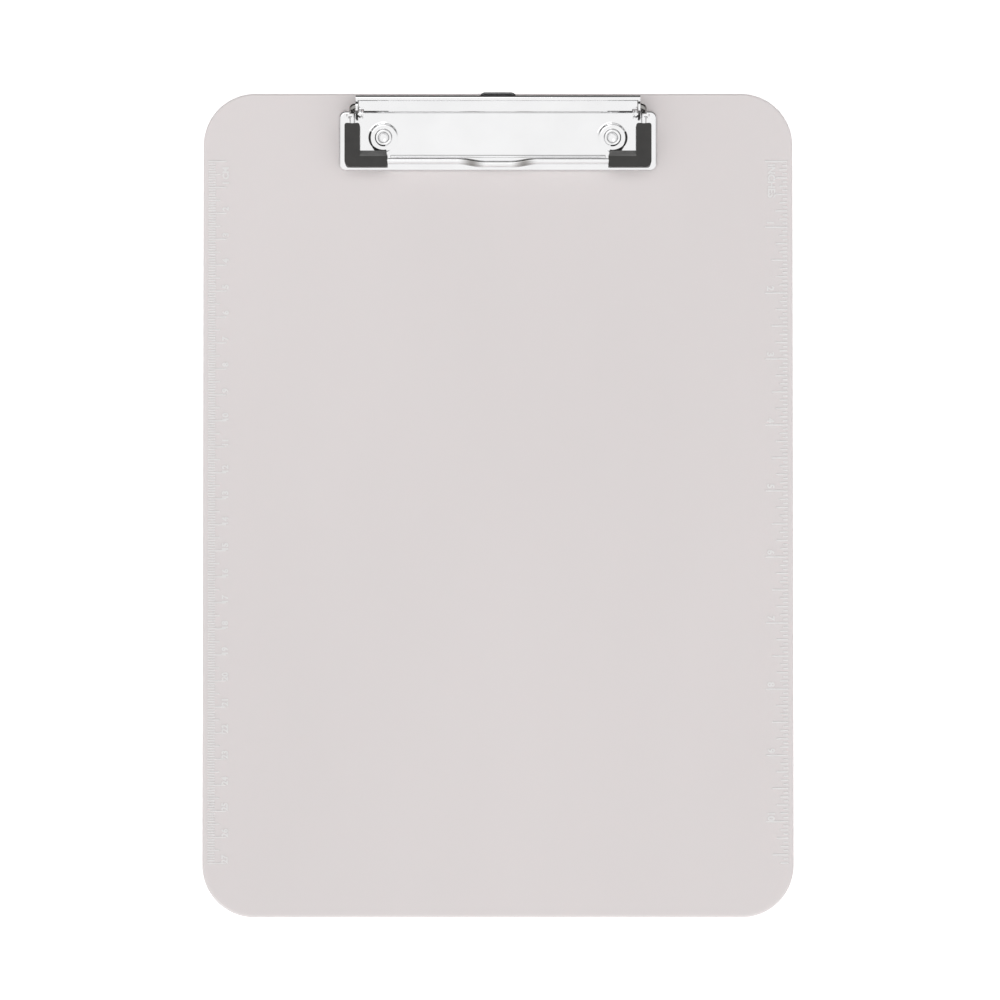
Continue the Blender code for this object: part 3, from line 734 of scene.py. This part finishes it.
def keeper(sign):
    """A strap that stands beside the wire and hooks over it."""
    post_x = wire_high.x + GAP + SHEET / 2
    top = plate_high.z - SHEET / 2
    corners = [
        (Vector((post_x, 0, deck - SHEET)), 0),
        (Vector((post_x, 0, top)), 0.9 * MM),
        (Vector((wire_x - wire_radius / 2, 0, top)), 0),
    ]
    bm = bmesh.new()
    verts = [bm.verts.new(point) for point in rounded(corners, 6)]
    edges = [bm.edges.new(pair) for pair in zip(verts, verts[1:])]
    width = 0.9 * MM
    grown = bmesh.ops.extrude_edge_only(bm, edges=edges)["geom"]
    far = [item for item in grown if isinstance(item, bmesh.types.BMVert)]
    bmesh.ops.translate(bm, vec=(0, width, 0), verts=far)
    bmesh.ops.translate(bm, vec=(0, jaw_hinge.y - width / 2, 0), verts=bm.verts)
    bmesh.ops.recalc_face_normals(bm, faces=bm.faces)
    bmesh.ops.solidify(bm, geom=bm.faces[:], thickness=SHEET)
    centre_sheet(bm, post_x)
    bmesh.ops.scale(bm, vec=(sign, 1, 1), verts=bm.verts)
    bmesh.ops.recalc_face_normals(bm, faces=bm.faces)
    return bm


def centre_sheet(bm, middle):
    """Moves a thickened strap sideways so that its post is centred on middle."""
    low_z = min(v.co.z for v in bm.verts)
    post = [v.co.x for v in bm.verts if v.co.z < low_z + SHEET]
    top = max(v.co.z for v in bm.verts)
    shift = Vector((middle - (min(post) + max(post)) / 2, 0, plate_high.z - top))
    bmesh.ops.translate(bm, vec=shift, verts=bm.verts)


class CLIPBOARD_OT_base_plate(Operator):
    """Make the pressed base plate with its bead, bosses, ears and keepers"""

    bl_idname = "clipboard.base_plate"
    bl_label = "Base plate"

    def execute(self, context):
        sizes = context.scene.clip_settings
        low = Vector(plate_low)
        high = Vector((plate_high.x, plate_high.y, deck))
        bm = block(low, high, 2.6 * MM, 14)
        soften(bm, rim_edges(bm, deck), 1.05 * MM, 6)
        plate = as_object("clip_plate", bm)
        inset = Vector((SHEET, SHEET, 0))
        below = Vector((0, 0, GAP))
        roof = Vector((0, 0, SHEET))
        hollow = block(low + inset - below, high - inset - roof, 1.8 * MM, 10)
        bead_end = Vector((sleeve_low.x - 1.0 * MM, wire_front + 1.8 * MM, deck - 0.15 * MM))
        bead_start = Vector((-bead_end.x, bead_end.y, bead_end.z))
        joined = [swept([bead_start, bead_start.lerp(bead_end, 0.5), bead_end], 0.6 * MM, 24)]
        cuts = [hollow]
        for sign in SIDES.values():
            joined.append(flared_boss(sign))
            ears = sorted((sign * ear_in, sign * ear_out))
            ear_low = Vector((ears[0], lever_hinge.y - EAR_RADIUS, deck - SHEET / 2))
            ear_high = Vector((ears[1], lever_hinge.y - EAR_RADIUS + EAR_BASE, lever_hinge.z))
            joined.append(block(ear_low, ear_high))
            across = [Vector((x, lever_hinge.y, lever_hinge.z)) for x in ears]
            joined.append(bar(EAR_RADIUS, across[0], across[1]))
            joined.append(keeper(sign))
            spot = Vector((sign * rivet_spot.x, rivet_spot.y, 0))
            cuts.append(bar(RIVET_HOLE, spot, spot + Vector((0, 0, deck + 2 * BOSS_RISE)), 64))
            reach = Vector((GAP, 0, 0))
            cuts.append(bar(PIN_BORE, across[0] - reach, across[1] + reach))
        combine(plate, joined, "UNION")
        combine(plate, cuts, "DIFFERENCE")
        edge_break(plate, sizes.edge_break, 2, 60)
        finish_piece(plate, "board_unit", chrome(), ["base_plate"])
        return {"FINISHED"}


class CLIPBOARD_OT_rivets(Operator):
    """Make the two tubular rivets with their rolled ends"""

    bl_idname = "clipboard.rivets"
    bl_label = "Rivets"

    def execute(self, context):
        bore = 1.7 * MM
        roll_radius = 3.5 * MM
        shank = 2.4 * MM
        under_roll = deck + BOSS_RISE + 0.02 * MM
        roll_half = (roll_radius - bore) / 2
        rise = rivet_high.z - under_roll
        head_low = rivet_low.z
        head_top = head_low + SHEET
        head_radius = (rivet_high.x - rivet_low.x) / 2
        bottom = head_top + SHEET
        profile = [
            (0, bottom - 0.15 * MM),
            (bore * 0.7, bottom),
            (bore * 0.93, bottom + 0.2 * MM),
            (bore, bottom + 0.6 * MM),
        ]
        steps = 18
        for step in range(steps + 1):
            angle = math.pi * (1 - step / steps)
            across = bore + roll_half * (1 + math.cos(angle))
            profile.append((across, under_roll + rise * math.sin(angle)))
        profile += [
            (shank, under_roll),
            (shank, head_top),
            (head_radius - 0.25 * MM, head_top),
            (head_radius, head_top - 0.25 * MM),
            (head_radius, head_low + 0.35 * MM),
            (head_radius - 0.1 * MM, head_low + 0.15 * MM),
            (head_radius - 0.4 * MM, head_low),
            (0, head_low),
        ]
        for side, sign in SIDES.items():
            bm = turned(profile, 72)
            bmesh.ops.translate(bm, vec=(sign * rivet_spot.x, rivet_spot.y, 0), verts=bm.verts)
            rivet = as_object("tubular_rivet_" + side, bm)
            finish_piece(rivet, "board_unit", chrome(), ["rivet_" + side])
        return {"FINISHED"}


class CLIPBOARD_OT_pins(Operator):
    """Make the two headed pins that the lever turns on"""

    bl_idname = "clipboard.pins"
    bl_label = "Hinge pins"

    def execute(self, context):
        shank = 0.9 * MM
        head = (pin_high.y - pin_low.y) / 2
        neck = ear_in - GAP
        tip = pin_low.x
        end = pin_high.x
        ease = 0.15 * MM
        profile = [
            (0, end),
            (shank - ease, end),
            (shank, end - ease),
            (shank, neck),
            (head - ease, neck),
            (head, neck - ease),
            (head, tip + ease),
            (head - 0.4 * MM, tip),
            (0, tip),
        ]
        for side, sign in SIDES.items():
            bm = turned(profile, 40)
            turn = Matrix.Rotation(sign * math.pi / 2, 4, "Y")
            bmesh.ops.transform(bm, matrix=Matrix.Translation(lever_hinge) @ turn, verts=bm.verts)
            pin = as_object("hinge_pin_" + side, bm)
            finish_piece(pin, "board_unit", chrome(), ["pivot_pin_" + side])
        return {"FINISHED"}


class CLIPBOARD_OT_lever(Operator):
    """Make the lever: a leaning panel with a rolled edge and a cheek at each end"""

    bl_idname = "clipboard.lever"
    bl_label = "Lever"

    def execute(self, context):
        sizes = context.scene.clip_settings
        roll_centre = roll_start - off_panel * sizes.roll_radius
        left = Vector((-cheek_out, 0, 0))
        bm = bmesh.new()
        verts = [bm.verts.new(left + point) for point in (foot, knee, roll_start)]
        edges = [bm.edges.new(pair) for pair in zip(verts, verts[1:])]
        bmesh.ops.spin(
            bm,
            geom=[verts[-1]],
            cent=left + roll_centre,
            axis=(1, 0, 0),
            dvec=(0, 0, 0),
            angle=EDGE_TURN,
            steps=30,
            use_merge=False,
        )
        grown = bmesh.ops.extrude_edge_only(bm, edges=bm.edges[:])["geom"]
        far = [item for item in grown if isinstance(item, bmesh.types.BMVert)]
        bmesh.ops.translate(bm, vec=(2 * cheek_out, 0, 0), verts=far)
        bmesh.ops.remove_doubles(bm, verts=bm.verts, dist=SMALL)
        bmesh.ops.recalc_face_normals(bm, faces=bm.faces)
        lever = as_object("lever_channel", bm)
        wall = lever.modifiers.new("sheet", "SOLIDIFY")
        wall.thickness = SHEET
        wall.offset = 0
        wall.use_even_offset = True
        settle(lever)
        lobe = hook - off_panel * (HOOK_CHEEK_RADIUS - cheek_radius)
        eye_centre, eye_radius = hook_eye()
        cheeks = []
        cuts = []
        for sign in SIDES.values():
            xs = sorted((sign * cheek_in, sign * cheek_out))
            bm = bmesh.new()
            for spot, radius in ((lever_hinge, cheek_radius), (lobe, HOOK_CHEEK_RADIUS)):
                turn = Matrix.Rotation(math.pi / 2, 4, "Y")
                place = Matrix.Translation((xs[0], spot.y, spot.z)) @ turn
                bmesh.ops.create_circle(
                    bm, cap_ends=False, radius=radius, segments=64, matrix=place
                )
            for along in (NOTCH_UP_PANEL, PANEL_LENGTH):
                spot = knee + up_panel * along
                bm.verts.new((xs[0], spot.y, spot.z))
            hull = bmesh.ops.convex_hull(bm, input=bm.verts[:])
            spare = {item for item in hull["geom_interior"] if isinstance(item, bmesh.types.BMVert)}
            bmesh.ops.delete(bm, geom=list(spare), context="VERTS")
            bmesh.ops.dissolve_limit(bm, angle_limit=0.01, verts=bm.verts[:], edges=bm.edges[:])
            flat = widest_face(bm)
            grown = bmesh.ops.extrude_face_region(bm, geom=[flat])["geom"]
            far = [item for item in grown if isinstance(item, bmesh.types.BMVert)]
            bmesh.ops.translate(bm, vec=(SHEET, 0, 0), verts=far)
            bmesh.ops.recalc_face_normals(bm, faces=bm.faces)
            cheeks.append(bm)
            notch = sorted((sign * (ear_in - PIN_HEAD_THICK - 2 * GAP), sign * cheek_in))
            near = Vector((notch[0], lever_hinge.y - EAR_RADIUS, deck))
            notch_top = (knee + up_panel * NOTCH_UP_PANEL).z
            cuts.append(block(near, (notch[1], near.y + NOTCH_LENGTH, notch_top)))
            ends = sorted((sign * (cheek_in - GAP), sign * (cheek_out + GAP)))
            for spot, radius in ((lever_hinge, PIN_BORE), (eye_centre, eye_radius)):
                cuts.append(bar(radius, (ends[0], spot.y, spot.z), (ends[1], spot.y, spot.z)))
        combine(lever, cheeks, "UNION")
        combine(lever, cuts, "DIFFERENCE")
        edge_break(lever, sizes.edge_break, 2, 50)
        drop_slivers(settle(lever))
        finish_piece(lever, "lever_unit", chrome(), ["lever"])
        return {"FINISHED"}


def widest_face(bm):
    return max(bm.faces, key=lambda face: face.calc_area())


def hook_eye():
    """The centre and radius of the hole that clears the wire's hook through the whole motion."""
    follow = joints["jaw_lift"]["range_deg"][1]
    lead = joints["lever_press"]["range_deg"][1]
    turn = Matrix.Rotation(math.radians(-follow), 3, "X")
    back = Matrix.Rotation(math.radians(lead), 3, "X")
    moved = jaw_hinge + turn @ (hook - jaw_hinge)
    drift = lever_hinge + back @ (moved - lever_hinge) - hook
    drift.x = 0
    return hook + drift / 2, wire_radius + GAP + drift.length / 2


def wire_path(tip, sizes):
    """The wire's centreline from the left hook round the front run to the right hook."""
    rise_y = jaw_hinge.y + 1.35 * MM
    half = [
        (Vector((tip, hook.y, hook.z)), 0),
        (Vector((wire_x, hook.y, hook.z)), 1.5 * MM),
        (Vector((wire_x, rise_y, jaw_hinge.z)), 2.0 * MM),
        (Vector((wire_x, wire_front, jaw_hinge.z)), 3.2 * MM),
        (Vector((sizes.bow_half, wire_front, jaw_hinge.z)), 0),
    ]
    right = rounded(half)
    bend = sizes.bow_half - sizes.bow_flat
    steps = 24
    for step in range(1, steps + 1):
        along = step / steps
        dip = sizes.bow_depth * (1 - math.cos(math.pi * along)) / 2
        right.append(Vector((sizes.bow_half - bend * along, wire_front - dip, jaw_hinge.z)))
    right.append(Vector((0, wire_front - sizes.bow_depth, jaw_hinge.z)))
    left = [Vector((-p.x, p.y, p.z)) for p in right[:-1]]
    return left + right[::-1]


class CLIPBOARD_OT_wire(Operator):
    """Make the sprung wire jaw"""

    bl_idname = "clipboard.wire"
    bl_label = "Wire jaw"

    def execute(self, context):
        sizes = context.scene.clip_settings
        bm = swept(wire_path(cheek_in - GAP, sizes), wire_radius, sizes.wire_sides)
        wire = as_object("wire_spring", bm)
        bend = (sizes.bow_half + sizes.bow_flat) / 2
        tones = (sizes.chrome, sizes.painted_shade_wire)
        # The wire's material carries painted shade, darker beside the bow's bends and at the hooks.
        plating = wire_with_painted_shade("drawn_wire", *tones, bend, 5.5 * MM, jaw_hinge.y)
        finish_piece(wire, "jaw_unit", plating, ["wire_jaw"])
        return {"FINISHED"}


class CLIPBOARD_OT_sleeves(Operator):
    """Make the two rubber sleeves on the wire's front corners"""

    bl_idname = "clipboard.sleeves"
    bl_label = "Rubber sleeves"

    def execute(self, context):
        sizes = context.scene.clip_settings
        low, high = sleeve_low, sleeve_high
        inner_x = wire_x - sleeve_side
        back = wire_front + sleeve_half
        dish = 0.25 * MM
        height = high.z - low.z
        corners = [
            (high.x, low.y, 2.4 * MM),
            (high.x, high.y, 0.9 * MM),
            (wire_x, high.y - dish, 3.0 * MM),
            (inner_x, high.y, 0.9 * MM),
            (inner_x, back, 1.0 * MM),
            (low.x, back, 0.9 * MM),
            (low.x + dish, wire_front, 3.0 * MM),
            (low.x, low.y, 0.9 * MM),
        ]
        outline = rounded_outline(corners, 8)
        lip = [
            (back - 0.6 * MM, height - 0.3 * MM),
            (back + 1.2 * MM, height - 1.5 * MM),
            (back + 1.2 * MM, BOSS_RISE + GAP),
            (back - 0.6 * MM, BOSS_RISE),
        ]
        fall = 1.5 / 2.6  # the lip's slope
        slope = [
            (back - 1.05 * MM, height),
            (back + 1.5 * MM, height - 2.9 * MM * fall),
            (back + 1.5 * MM, height + GAP),
            (back - 1.05 * MM, height + GAP),
        ]
        along_x = Matrix(((0, 0, 1, 0), (1, 0, 0, 0), (0, 1, 0, 0), (0, 0, 0, 1)))
        rubber = black_rubber("matt_rubber", sizes.rubber)
        # A lighter copy of the rubber, for the painted sheen on the lips' upward and backward
        # faces.
        painted_sheen = black_rubber("rubber_with_painted_sheen", sizes.painted_sheen_rubber)
        for side, sign in SIDES.items():
            body = extruded(outline, height, Matrix.Translation((0, 0, low.z)))
            start = low.x + 0.5 * MM
            place = Matrix.Translation((start, 0, low.z)) @ along_x
            wedge = extruded(lip, inner_x + GAP - start, place)
            start = low.x - 1.0 * MM
            place = Matrix.Translation((start, 0, low.z)) @ along_x
            shaved = extruded(slope, inner_x - start, place)
            for bm in (body, wedge, shaved):
                bmesh.ops.scale(bm, vec=(sign, 1, 1), verts=bm.verts)
                bmesh.ops.recalc_face_normals(bm, faces=bm.faces)
            sleeve = combine(as_object("rubber_sleeve_" + side, body), [wedge], "UNION")
            edge_break(sleeve, 0.55 * MM, 5, 40)
            settle(sleeve)
            combine(sleeve, [shaved], "DIFFERENCE")
            channel = swept(wire_path(cheek_in, sizes), wire_radius + 0.08 * MM, sizes.wire_sides)
            combine(sleeve, [channel], "DIFFERENCE")
            finish_piece(sleeve, "jaw_unit", rubber, ["sleeve_" + side], 50)
            # Painted sheen: lip faces that look up and back get the lighter rubber, as if lit from
            # behind.
            sleeve.data.materials.append(painted_sheen)
            for face in sleeve.data.polygons:
                if min(face.normal.y, face.normal.z) > 0.35 and face.center.y < back + 1.3 * MM:
                    face.material_index = 1
        return {"FINISHED"}


def on_panel(second, third):
    """A matrix that puts (x, second, third) on the back of the lever's panel, from its knee."""
    columns = Matrix((Vector((1, 0, 0)), second, third)).transposed().to_4x4()
    return Matrix.Translation(knee + off_panel * SHEET / 2) @ columns


class CLIPBOARD_OT_hang_tab(Operator):
    """Make the sliding hang tab with its slot"""

    bl_idname = "clipboard.hang_tab"
    bl_label = "Hang tab"

    def execute(self, context):
        half = TAB_HALF
        wide = half + TAB_SHOULDER
        top = PANEL_LENGTH + TAB_PROUD
        bottom = 0.6 * MM
        shoulder = bottom + 0.8 * MM
        corners = [
            (half, top, 2.0 * MM),
            (-half, top, 2.0 * MM),
            (-half, shoulder, 0.2 * MM),
            (-wide, shoulder, 0.3 * MM),
            (-wide, bottom, 0.3 * MM),
            (wide, bottom, 0.3 * MM),
            (wide, shoulder, 0.3 * MM),
            (half, shoulder, 0.2 * MM),
        ]
        place = on_panel(up_panel, off_panel)
        lifted = place @ Matrix.Translation((0, 0, GAP))
        tab = as_object("hang_loop", extruded(rounded_outline(corners, 12), SHEET, lifted))
        slot_top = top - 1.0 * MM
        slot_low = (-TAB_SLOT_WIDTH / 2, slot_top - TAB_SLOT_HEIGHT, 0)
        slot_high = (TAB_SLOT_WIDTH / 2, slot_top, SHEET + 2 * GAP)
        slot = block(slot_low, slot_high, TAB_SLOT_HEIGHT / 2 - GAP, 12)
        bmesh.ops.transform(slot, matrix=place, verts=slot.verts)
        combine(tab, [slot], "DIFFERENCE")
        edge_break(tab, 0.18 * MM, 3, 50)
        # The tab's material is painted shade: the chrome made darker to stand in for the dark
        # reflections on the tab.
        steel = chromed_steel("tab_chrome_painted_shade", context.scene.clip_settings.steel, 0.16)
        finish_piece(tab, "tab_unit", steel, ["hang_tab"])
        return {"FINISHED"}


class CLIPBOARD_OT_tab_guide(Operator):
    """Make the bracket that the hang tab slides in"""

    bl_idname = "clipboard.tab_guide"
    bl_label = "Tab guide"

    def execute(self, context):
        inner = TAB_HALF + TAB_SHOULDER + GAP
        wall = inner + SHEET
        flange = wall + 2.6 * MM
        under = 2 * GAP + SHEET
        right = [(flange, GAP), (flange, GAP + SHEET), (wall, GAP + SHEET), (wall, under + SHEET)]
        back = [(inner, under), (inner, GAP)]
        outline = right + [(-u, w) for u, w in right[::-1]]
        outline += [(-u, w) for u, w in back[::-1]] + back
        top = PANEL_LENGTH - 0.6 * MM
        rail = 3.6 * MM
        inset = GAP / 3
        place = on_panel(off_panel, up_panel)
        start = Matrix.Translation((0, 0, top - rail))
        guide = as_object("loop_guide", extruded(outline, rail, place @ start))
        stops = []
        for sign in SIDES.values():
            reach = sorted((sign * (TAB_HALF + GAP), sign * (inner + GAP)))
            low = (reach[0], 1.5 * GAP, top - 0.6 * MM - inset)
            stops.append(block(low, (reach[1], under - 2 * inset, top - inset)))
        opened_low = (-wall - GAP, under - inset, top - 1.0 * MM)
        opened = block(opened_low, (wall + GAP, under + SHEET + GAP, top + GAP))
        for bm in (*stops, opened):
            bmesh.ops.transform(bm, matrix=place, verts=bm.verts)
        combine(guide, stops, "UNION")
        combine(guide, [opened], "DIFFERENCE")
        edge_break(guide, 0.2 * MM, 3, 50)
        finish_piece(guide, "lever_unit", chrome(), ["tab_guide"])
        return {"FINISHED"}


# ---------------------------------------------------------------- stage


def pale_floor():
    made = bpy.data.materials.new("pale_floor")
    made.use_nodes = True
    shader = made.node_tree.nodes["Principled BSDF"]
    shader.inputs["Base Color"].default_value = (0.93, 0.93, 0.93, 1)
    shader.inputs["Roughness"].default_value = 0.9
    shader.inputs["Specular IOR Level"].default_value = 0.1
    shader.inputs["Emission Color"].default_value = (1, 1, 1, 1)
    shader.inputs["Emission Strength"].default_value = 0.50
    links = made.node_tree.links
    side = made.node_tree.nodes.new("ShaderNodeNewGeometry")
    clear = made.node_tree.nodes.new("ShaderNodeBsdfTransparent")
    mix = made.node_tree.nodes.new("ShaderNodeMixShader")
    links.new(side.outputs["Backfacing"], mix.inputs["Fac"])
    links.new(shader.outputs["BSDF"], mix.inputs[1])
    links.new(clear.outputs["BSDF"], mix.inputs[2])
    links.new(mix.outputs["Shader"], made.node_tree.nodes["Material Output"].inputs["Surface"])
    return made


def tent_light():
    """A soft white surround that is darker along the horizon, most of all behind the clip."""
    world = bpy.data.worlds.new("light_tent")
    world.use_nodes = True
    tree = world.node_tree
    place = tree.nodes.new("ShaderNodeTexCoord")
    parts = tree.nodes.new("ShaderNodeSeparateXYZ")
    lean = tree.nodes.new("ShaderNodeMath")
    lean.operation = "MULTIPLY_ADD"
    lean.inputs[1].default_value = -0.60
    ramp = tree.nodes.new("ShaderNodeValToRGB")
    stops = ramp.color_ramp
    stops.elements[0].position = 0.0
    stops.elements[0].color = (0.05, 0.05, 0.05, 1)
    stops.elements[1].position = 1.0
    stops.elements[1].color = (1.0, 1.0, 1.0, 1)
    for position, level in ((0.10, 0.08), (0.24, 0.50), (0.38, 0.96)):
        stop = stops.elements.new(position)
        stop.color = (level, level, level, 1)
    sky = tree.nodes["Background"]
    tree.links.new(place.outputs["Generated"], parts.inputs["Vector"])
    tree.links.new(parts.outputs["Y"], lean.inputs[0])
    tree.links.new(parts.outputs["Z"], lean.inputs[2])
    tree.links.new(lean.outputs["Value"], ramp.inputs["Fac"])
    tree.links.new(ramp.outputs["Color"], sky.inputs["Color"])
    sky.inputs["Strength"].default_value = 1.0
    return world


class CLIPBOARD_OT_stage(Operator):
    """Make the pale floor, the soft light and the camera"""

    bl_idname = "clipboard.stage"
    bl_label = "Stage"

    def execute(self, context):
        scene = context.scene
        settings = scene.stage_settings
        bm = bmesh.new()
        bmesh.ops.create_grid(bm, x_segments=1, y_segments=1, size=3.0)
        bmesh.ops.translate(bm, vec=(0, 0, -0.1 * MM), verts=bm.verts)
        floor = as_object("floor", bm)
        floor.data.materials.append(pale_floor())
        floor.visible_glossy = False
        scene.world = tent_light()
        light = bpy.data.lights.new("key_light", "AREA")
        light.shape = "DISK"
        light.size = 0.8
        light.energy = settings.key_power
        key = bpy.data.objects.new("key_light", light)
        key.location = (-0.35, 0.85, 1.5)
        key.rotation_euler = (-Vector(key.location)).to_track_quat("-Z", "Y").to_euler()
        scene.collection.objects.link(key)
        data = bpy.data.cameras.new("camera")
        data.sensor_width = 36.0
        data.lens = data.sensor_width * settings.distance / settings.width
        data.clip_start = 0.1
        data.clip_end = 20.0
        camera = bpy.data.objects.new("camera", data)
        back = Vector((0, -math.sin(settings.tilt), math.cos(settings.tilt)))
        camera.location = Vector(settings.aim) + back * settings.distance
        camera.rotation_euler = (settings.tilt, 0, 0)
        scene.collection.objects.link(camera)
        scene.camera = camera
        scene.view_settings.view_transform = "Standard"
        return {"FINISHED"}


PIECES = (
    CLIPBOARD_OT_board,
    CLIPBOARD_OT_rulers,
    CLIPBOARD_OT_base_plate,
    CLIPBOARD_OT_rivets,
    CLIPBOARD_OT_pins,
    CLIPBOARD_OT_lever,
    CLIPBOARD_OT_wire,
    CLIPBOARD_OT_sleeves,
    CLIPBOARD_OT_hang_tab,
    CLIPBOARD_OT_tab_guide,
    CLIPBOARD_OT_stage,
)


class CLIPBOARD_PT_panel(Panel):
    bl_idname = "CLIPBOARD_PT_panel"
    bl_label = "Clipboard"
    bl_space_type = "VIEW_3D"
    bl_region_type = "UI"
    bl_category = "Clipboard"

    def draw(self, context):
        for settings in ("board_settings", "clip_settings", "stage_settings"):
            group = getattr(context.scene, settings)
            box = self.layout.box()
            for name in group.__annotations__:
                box.prop(group, name)
        for piece in PIECES:
            self.layout.operator(piece.bl_idname)


SETTINGS = {
    "board_settings": BoardSettings,
    "clip_settings": ClipSettings,
    "stage_settings": StageSettings,
}


def register():
    for group in SETTINGS.values():
        bpy.utils.register_class(group)
    for name, group in SETTINGS.items():
        setattr(bpy.types.Scene, name, PointerProperty(type=group))
    for piece in PIECES:
        bpy.utils.register_class(piece)
    bpy.utils.register_class(CLIPBOARD_PT_panel)


def unregister():
    bpy.utils.unregister_class(CLIPBOARD_PT_panel)
    for piece in reversed(PIECES):
        bpy.utils.unregister_class(piece)
    for name in SETTINGS:
        delattr(bpy.types.Scene, name)
    for group in reversed(SETTINGS.values()):
        bpy.utils.unregister_class(group)


def main():
    register()
    bpy.ops.clipboard.board()
    bpy.ops.clipboard.rulers()
    bpy.ops.clipboard.base_plate()
    bpy.ops.clipboard.rivets()
    bpy.ops.clipboard.pins()
    bpy.ops.clipboard.lever()
    bpy.ops.clipboard.wire()
    bpy.ops.clipboard.sleeves()
    bpy.ops.clipboard.hang_tab()
    bpy.ops.clipboard.tab_guide()
    bpy.ops.clipboard.stage()


if __name__ == "__main__":
    main()
